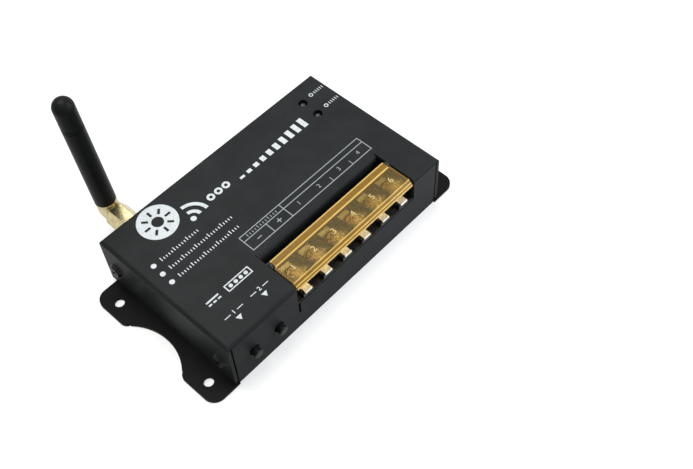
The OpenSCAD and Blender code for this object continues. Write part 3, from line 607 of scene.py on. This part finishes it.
# The radio sign, whose dot is a share of its lines' width, and then the three rings and the
# rising scale, which share a middle line
WAVES = {"x": -23.6, "y": 14.0, "size": 6.2, "width": 1.35, "count": 2}
WAVES_DOT = 0.8
SCALE_MIDDLE_Y = 16.3
RINGS_X = (-13.6, -10.1, -6.6)
RING_OUTER, RING_INNER = 1.5, 0.65
SCALE_BARS = {"x": -1.4, "count": 10, "step": 3.5, "width": 2.0, "first": 1.0, "last": 4.6}

# The three listed lines, each a bullet and a row of ticks
LINES_Y = (9.5, 5.0, 0.5)
LINES_TICKS = (15, 25, 24)
LINE_DROP = 0.6
LINE_BARS = {
    "x": -42.0, "step": 1.12, "width": 0.34, "first": 1.0, "last": 1.0, "extra": 0.6, "every": 5,
}
BULLET_X = -45.2
BULLET_RADIUS = 0.95

# The table over the terminals: left, low, right and high
TABLE = (-19.3, -10.45, 38.7, -3.2)
TABLE_LINE = 0.32
TABLE_HEAD_Y = -5.75
TABLE_FULL_DIVIDER_X = -0.86
TABLE_LOWER_DIVIDER_X = -9.3
TABLE_SHORT_DIVIDERS_X = (19.2, 29.0)
TABLE_SHORT_LINE = 0.25
TABLE_SHORT_HEIGHT = 2.3
TABLE_HEAD_BARS = {
    "x": -16.6, "y": -5.1, "count": 12, "step": 1.2, "width": 0.26, "first": 0.9, "last": 0.9,
    "extra": 0.4, "every": 4,
}
TABLE_NUMBERS_X = (4.5, 14.2, 24.2, 33.9)
TABLE_NUMBERS_Y = -8.05
TABLE_NUMBER_SIZE = 2.5
# How far beyond the table's edge its greyer ink fades out, from and to
TABLE_FADE = (0.1, 0.6)

# Plain bars, each as left, low, right and high
MINUS_AND_PLUS = (
    (-15.2, -8.2, -13.2, -7.85),
    (-6.0, -8.2, -4.0, -7.85),
    (-5.175, -9.03, -4.825, -8.2),
    (-5.175, -7.85, -4.825, -7.02),
)
DIRECT_CURRENT_SIGN = (
    (-43.6, -14.15, -38.4, -13.55),
    (-43.6, -15.5, -42.3, -14.9),
    (-41.65, -15.5, -40.35, -14.9),
    (-39.7, -15.5, -38.4, -14.9),
)

# The sign of a strip with four lamps
STRIP = (-35.6, -16.1, -25.0, -13.1)
STRIP_LINE = 0.42
STRIP_DOTS_X = (-33.6, -31.4, -29.2, -27.0)
STRIP_DOTS_Y = -14.6
STRIP_DOT_RADIUS = 0.72

# The arrows over the push-buttons, each with a number between two dashes
ARROWS = ((-39.7, -25.35), (-28.4, -25.2))
ARROW_WIDTH = 2.3
ARROW_HEIGHT = 1.9
DASH_FROM, DASH_TO = 1.4, 3.9
DASH_LOW, DASH_HIGH = 2.75, 3.05
ARROW_NUMBER_UP = 2.9
ARROW_NUMBER_SIZE = 2.3
ARROW_NUMBER_HEAVY = 0.03

# The marks beside the indicator lamps, each a ring and five ticks
LAMP_MARKS = ((42.9, 23.3), (42.9, 15.6))
LAMP_RING_OUTER, LAMP_RING_INNER = 0.85, 0.5
LAMP_TICKS_RIGHT, LAMP_TICKS_DROP = 1.6, 0.6
LAMP_TICKS = {"count": 5, "step": 1.0, "width": 0.3, "first": 1.2, "last": 1.2}


def printing_ink():
    """White screen print, a little thin in places, and greyer in the table's fine lines."""
    finish = Finish("printing_ink")
    cloud = finish.noise(0.7, detail=3, roughness=0.65)
    along, across = finish.axis("X"), finish.axis("Y") - case_y / MM
    left, low, _, high = TABLE
    near, far = TABLE_FADE
    table = along.rising(left - far, left - near) * across.rising(low - far, low - near)
    table = table * (1 - across.rising(high + near, high + far))
    white = finish.mix(cloud.rising(0.25, 0.55), (0.3, 0.32, 0.33), (0.43, 0.46, 0.47))
    return finish.done(finish.surface(
        Base_Color=finish.mix(table, white, (0.19, 0.21, 0.22)),
        Roughness=0.55,
        Normal=finish.bump(cloud, depth=0.01, strength=0.5),
    ))


INK = printing_ink()


def circle(x, y, radius, sides):
    """The corners of a circle."""
    turns = [2 * math.pi * side / sides for side in range(sides)]
    return [(x + radius * math.cos(turn), y + radius * math.sin(turn)) for turn in turns]


def bar(left, low, right, high):
    """The corners of an upright bar."""
    return [(left, low), (right, low), (right, high), (left, high)]


def arc(x, y, radius, width, start, end):
    """A band along part of a circle, with its middle at this radius, between two angles."""
    step = (end - start) / ARC_STEPS
    turns = [math.radians(start + number * step) for number in range(ARC_STEPS + 1)]
    outer, inner = radius + width / 2, radius - width / 2
    there = [(x + outer * math.cos(turn), y + outer * math.sin(turn)) for turn in turns]
    back = [(x + inner * math.cos(turn), y + inner * math.sin(turn)) for turn in turns]
    return there + back[::-1]


def bar_frame(left, low, right, high, width):
    """An upright bar with a hole that leaves a line of this width."""
    hole = bar(left + width, low + width, right - width, high - width)
    return [bar(left, low, right, high), hole]


def arrow_down(x, y):
    """A triangle that points down."""
    side, up = ARROW_WIDTH / 2, ARROW_HEIGHT / 2
    return [(x - side, y + up), (x, y - up), (x + side, y + up)]


def emblem(x, y, radius):
    """A white disc with a plain sun left dark in it."""
    lines = [circle(x, y, radius, DISC_SIDES), circle(x, y, SUN_RADIUS * radius, RING_SIDES)]
    inner, outer, half = RAY_FROM * radius, RAY_TO * radius, RAY_HALF_WIDTH * radius
    for ray in range(SUN_RAYS):
        turn = 2 * math.pi / SUN_RAYS * ray
        along = Vector((math.cos(turn), math.sin(turn)))
        side = Vector((-math.sin(turn), math.cos(turn)))
        middle = Vector((x, y))
        corners = bar(inner, -half, outer, half)
        lines.append([tuple(middle + along * a + side * b) for a, b in corners])
    return lines


def waves(x, y, size, width, count):
    """A dot with arcs that spread from it towards +X and +Y, the sign for a radio signal."""
    arcs = [arc(x, y, size * number / count, width, 0, 90) for number in range(1, count + 1)]
    return [circle(x, y, WAVES_DOT * width, DOT_SIDES), *arcs]


def placed_curve(curve, height, x=0.0, y=0.0):
    """The curve's mesh, closed and moved to its place in metres."""
    mesh = taken_off(placed("holder", curve), (x, y, height))
    work = bmesh.new()
    work.from_mesh(mesh)
    bmesh.ops.remove_doubles(work, verts=work.verts, dist=PRINT_MERGE * MM)
    bmesh.ops.recalc_face_normals(work, faces=work.faces)
    work.to_mesh(mesh)
    work.free()
    return mesh


def printed(outlines):
    """A layer of ink from closed outlines, where one inside another is a hole."""
    curve = bpy.data.curves.new("outline", "CURVE")
    curve.dimensions = "2D"
    curve.fill_mode = "BOTH"
    curve.extrude = INK_DEPTH * MM / 2
    for outline in outlines:
        spline = curve.splines.new("POLY")
        spline.points.add(len(outline) - 1)
        for point, (x, y) in zip(spline.points, outline):
            point.co = (x * MM, y * MM, 0, 1)
        spline.use_cyclic_u = True
    return placed_curve(curve, INK_BOTTOM + INK_DEPTH * MM / 2)


def digit(number, x, y, size, depth=INK_DEPTH, bottom=INK_BOTTOM, heavy=0.0):
    """A plain number, centred on a place in millimetres, from a bottom in metres up."""
    curve = bpy.data.curves.new("digit", "FONT")
    curve.body = str(number)
    curve.align_x, curve.align_y = "CENTER", "CENTER"
    curve.size = size * MM
    curve.offset = heavy * MM
    curve.extrude = depth * MM / 2
    return placed_curve(curve, bottom + depth * MM / 2, x * MM, y * MM)


def bar_row_tree():
    """A row of upright bars on one base line. Their height runs evenly from the first to the
    last, and every so many bars one is taller."""
    tree = bpy.data.node_groups.new("bar_row", "GeometryNodeTree")
    sizes = ("Step", "Width", "First height", "Last height", "Tall extra", "Thickness")
    sockets = [("Count", "Int"), *((name, "Float") for name in sizes)]
    for name, kind in (*sockets, ("Tall every", "Int"), ("Material", "Material")):
        tree.interface.new_socket(name, in_out="INPUT", socket_type=f"NodeSocket{kind}")
    tree.interface.new_socket("Geometry", in_out="OUTPUT", socket_type="NodeSocketGeometry")
    add, join = tree.nodes.new, tree.links.new
    given = add("NodeGroupInput").outputs
    result = add("NodeGroupOutput").inputs[0]

    def maths(operation, first, second):
        made = add("ShaderNodeMath")
        made.operation = operation
        for socket, value in zip(made.inputs, (first, second)):
            if isinstance(value, bpy.types.NodeSocket):
                join(value, socket)
            else:
                socket.default_value = value
        return made.outputs[0]

    index = add("GeometryNodeInputIndex").outputs[0]
    share = maths("DIVIDE", index, maths("SUBTRACT", given["Count"], 1.0))
    rise = maths("SUBTRACT", given["Last height"], given["First height"])
    even = maths("ADD", given["First height"], maths("MULTIPLY", share, rise))
    tall = maths("LESS_THAN", maths("MODULO", index, given["Tall every"]), 0.5)
    height = maths("ADD", even, maths("MULTIPLY", tall, given["Tall extra"]))
    step = add("ShaderNodeCombineXYZ")
    join(given["Step"], step.inputs["X"])
    line = add("GeometryNodeMeshLine")
    line.mode = "OFFSET"
    join(given["Count"], line.inputs["Count"])
    join(step.outputs[0], line.inputs["Offset"])
    size = add("ShaderNodeCombineXYZ")
    join(given["Width"], size.inputs["X"])
    join(height, size.inputs["Y"])
    join(given["Thickness"], size.inputs["Z"])
    cube = add("GeometryNodeMeshCube")
    stand = add("GeometryNodeTransform")
    stand.inputs["Translation"].default_value = (0, 0.5, 0.5)
    join(cube.outputs["Mesh"], stand.inputs["Geometry"])
    spread = add("GeometryNodeInstanceOnPoints")
    join(line.outputs["Mesh"], spread.inputs["Points"])
    join(stand.outputs["Geometry"], spread.inputs["Instance"])
    join(size.outputs[0], spread.inputs["Scale"])
    real = add("GeometryNodeRealizeInstances")
    join(spread.outputs["Instances"], real.inputs["Geometry"])
    paint = add("GeometryNodeSetMaterial")
    join(real.outputs["Geometry"], paint.inputs["Geometry"])
    join(given["Material"], paint.inputs["Material"])
    join(paint.outputs["Geometry"], result)
    return tree


def grown(tree, place, **given):
    """The mesh that a tree makes from these inputs, moved to its place in metres."""
    holder = placed("holder", bpy.data.meshes.new("seed"))
    modifier = holder.modifiers.new("tree", "NODES")
    modifier.node_group = tree
    inputs = [item for item in tree.interface.items_tree if item.in_out == "INPUT"]
    sockets = {item.name: item.identifier for item in inputs}
    for name, value in given.items():
        modifier[sockets[name.replace("_", " ")]] = value
    return taken_off(holder, place)


BAR_ROW = bar_row_tree()


def bars(x, y, count, step, width, first, last, extra=0.0, every=1):
    """A printed row of bars that starts at a place in millimetres."""
    return grown(
        BAR_ROW, ((x + width / 2) * MM, y * MM, INK_BOTTOM),
        Count=count, Step=step * MM, Width=width * MM, Thickness=INK_DEPTH * MM,
        First_height=first * MM, Last_height=last * MM,
        Tall_extra=extra * MM, Tall_every=every, Material=INK,
    )


def table_bars():
    """The lines inside the table."""
    left, low, right, high = TABLE
    head_low, head_high = TABLE_HEAD_Y - TABLE_LINE / 2, TABLE_HEAD_Y + TABLE_LINE / 2
    inner_low, inner_high = low + TABLE_LINE, high - TABLE_LINE
    full, lower = TABLE_FULL_DIVIDER_X, TABLE_LOWER_DIVIDER_X
    return [
        bar(left + TABLE_LINE, head_low, right - TABLE_LINE, head_high),
        bar(full, head_high, full + TABLE_LINE, inner_high),
        bar(full, inner_low, full + TABLE_LINE, head_low),
        bar(lower, inner_low, lower + TABLE_LINE, head_low),
        *(bar(x, inner_low, x + TABLE_SHORT_LINE, low + TABLE_SHORT_HEIGHT)
          for x in TABLE_SHORT_DIVIDERS_X),
    ]


def case_print():
    """All the white print on the case's top, as one piece."""
    large = emblem(**EMBLEM) + waves(**WAVES)
    for x in RINGS_X:
        large.append(circle(x, SCALE_MIDDLE_Y, RING_OUTER, RING_SIDES))
        large.append(circle(x, SCALE_MIDDLE_Y, RING_INNER, HOLE_SIDES))
    large += [circle(BULLET_X, y, BULLET_RADIUS, BULLET_SIDES) for y in LINES_Y]
    large += bar_frame(*TABLE, TABLE_LINE)

    single = table_bars()
    single += [bar(*corners) for corners in DIRECT_CURRENT_SIGN + MINUS_AND_PLUS]
    single += [arrow_down(x, y) for x, y in ARROWS]
    for x, y in ARROWS:
        single.append(bar(x - DASH_TO, y + DASH_LOW, x - DASH_FROM, y + DASH_HIGH))
        single.append(bar(x + DASH_FROM, y + DASH_LOW, x + DASH_TO, y + DASH_HIGH))

    small = bar_frame(*STRIP, STRIP_LINE)
    small += [circle(x, STRIP_DOTS_Y, STRIP_DOT_RADIUS, DOT_SIDES) for x in STRIP_DOTS_X]
    for x, y in LAMP_MARKS:
        small.append(circle(x, y, LAMP_RING_OUTER, BULLET_SIDES))
        small.append(circle(x, y, LAMP_RING_INNER, DOT_SIDES))

    meshes = [printed(large), *(printed([outline]) for outline in single), printed(small)]
    meshes.append(bars(y=SCALE_MIDDLE_Y - SCALE_BARS["last"] / 2, **SCALE_BARS))
    for y, count in zip(LINES_Y, LINES_TICKS):
        meshes.append(bars(y=y - LINE_DROP, count=count, **LINE_BARS))
    meshes.append(bars(**TABLE_HEAD_BARS))
    for x, y in LAMP_MARKS:
        meshes.append(bars(x + LAMP_TICKS_RIGHT, y - LAMP_TICKS_DROP, **LAMP_TICKS))
    for number, x in enumerate(TABLE_NUMBERS_X, 1):
        meshes.append(digit(number, x, TABLE_NUMBERS_Y, TABLE_NUMBER_SIZE))
    for number, (x, y) in enumerate(ARROWS, 1):
        meshes.append(digit(
            number, x, y + ARROW_NUMBER_UP, ARROW_NUMBER_SIZE, heavy=ARROW_NUMBER_HEAVY,
        ))
    print_mesh = joined("case_print", meshes)
    print_mesh.transform(Matrix.Translation((0, case_y, 0)))
    add_piece("case_print", print_mesh, INK, "case")


# The lid's moulded numbers, in millimetres
LID_FACE_DROP = 0.4
LID_DIGIT_FROM_FRONT = 6.2
LID_DIGIT_SIZE = 3.4
LID_DIGIT_RAISE = 0.14
LID_DIGIT_SINK = 0.01
LID_DIGIT_HEAVY = 0.02


def lid_numbers():
    """The number of each terminal, raised on the amber lid."""
    y = lid_low.y / MM + LID_DIGIT_FROM_FRONT
    depth = LID_DIGIT_RAISE + LID_DIGIT_SINK
    bottom = lid_high.z - (LID_FACE_DROP + LID_DIGIT_SINK) * MM
    meshes = [
        digit(number, x / MM, y, LID_DIGIT_SIZE, depth, bottom, LID_DIGIT_HEAVY)
        for number, x in enumerate(way_x, 1)
    ]
    add_piece("lid_numbers", joined("lid_numbers", meshes), PALE_AMBER, "lid")


# Half the floor's side in metres, and its other sizes and places in millimetres
FLOOR_HALF_SIDE = 9
FLOOR_GAP = 0.05
FLOOR_WHITE_FROM, FLOOR_WHITE_TO = 200, 800
FLOOR_PALE_FROM, FLOOR_PALE_TO = -62, 5
FLOOR_GREY, FLOOR_PALE = (0.35, 0.35, 0.35), (0.9, 0.9, 0.9)
# How white it is to look at beside the object, where 1 leaves no shadow
FLOOR_NEAR_WHITE = 0.55
WHITE = (1, 1, 1)


def pale_floor():
    """A white floor that keeps the object's shadow. It is greyer on one side for the light that
    it sends up, which keeps the end wall dark."""
    finish = Finish("floor")
    seen = finish.seen()
    along, across = finish.axis("X"), finish.axis("Y")
    pale = along.rising(FLOOR_PALE_FROM, FLOOR_PALE_TO).most(seen)
    tone = finish.mix(pale, FLOOR_GREY, FLOOR_PALE)
    shaded = finish.node("ShaderNodeBsdfDiffuse", None, Color=tone).outputs[0]
    bright = finish.node("ShaderNodeEmission", None, Color=WHITE, Strength=1.0).outputs[0]
    far = (along * along + across * across).rising(FLOOR_WHITE_FROM ** 2, FLOOR_WHITE_TO ** 2)
    amount = seen * (far * (1 - FLOOR_NEAR_WHITE) + FLOOR_NEAR_WHITE)
    shader = finish.node("ShaderNodeMixShader", None, amount, shaded, bright).outputs[0]
    work = bmesh.new()
    bmesh.ops.create_grid(work, x_segments=1, y_segments=1, size=FLOOR_HALF_SIDE)
    mesh = new_mesh("floor", work)
    mesh.transform(Matrix.Translation((0, 0, underside_z - FLOOR_GAP * MM)))
    link("floor", mesh, finish.done(shader))


# How bright the world is as a light, where it is white to look at
WORLD_LIGHT = 0.32


def studio_world():
    """A white world that gives a plain soft light."""
    world = Finish("studio", bpy.data.worlds)
    strength = world.seen() * (1 - WORLD_LIGHT) + WORLD_LIGHT
    glow = world.node("ShaderNodeBackground", None, Color=WHITE, Strength=strength)
    world.node("ShaderNodeOutputWorld", None, glow.outputs[0])
    bpy.context.scene.world = world.owner


# Each soft lamp: its place and size in millimetres, its colour and its power in watts
LAMPS = {
    "key": ((-5, 185, 636), 430, (1, 0.99, 0.97), 5.4),
    "fill": ((290, -240, 230), 300, (0.9, 0.95, 1), 1.9),
}


def studio_lamps():
    """The lamps, which all face the middle of the mounting holes."""
    for name, (place, size, colour, power) in LAMPS.items():
        data = bpy.data.lights.new(name, "AREA")
        data.size = size * MM
        data.color = colour
        data.energy = power
        lamp = placed(name, data)
        lamp.location = Vector(place) * MM
        lamp.rotation_mode = "QUATERNION"
        lamp.rotation_quaternion = (-lamp.location).to_track_quat("-Z", "Y")


make_camera()
finish_nodes()
case_print()
lid_numbers()
pale_floor()
studio_world()
studio_lamps()

bpy.context.scene.view_settings.view_transform = "Standard"
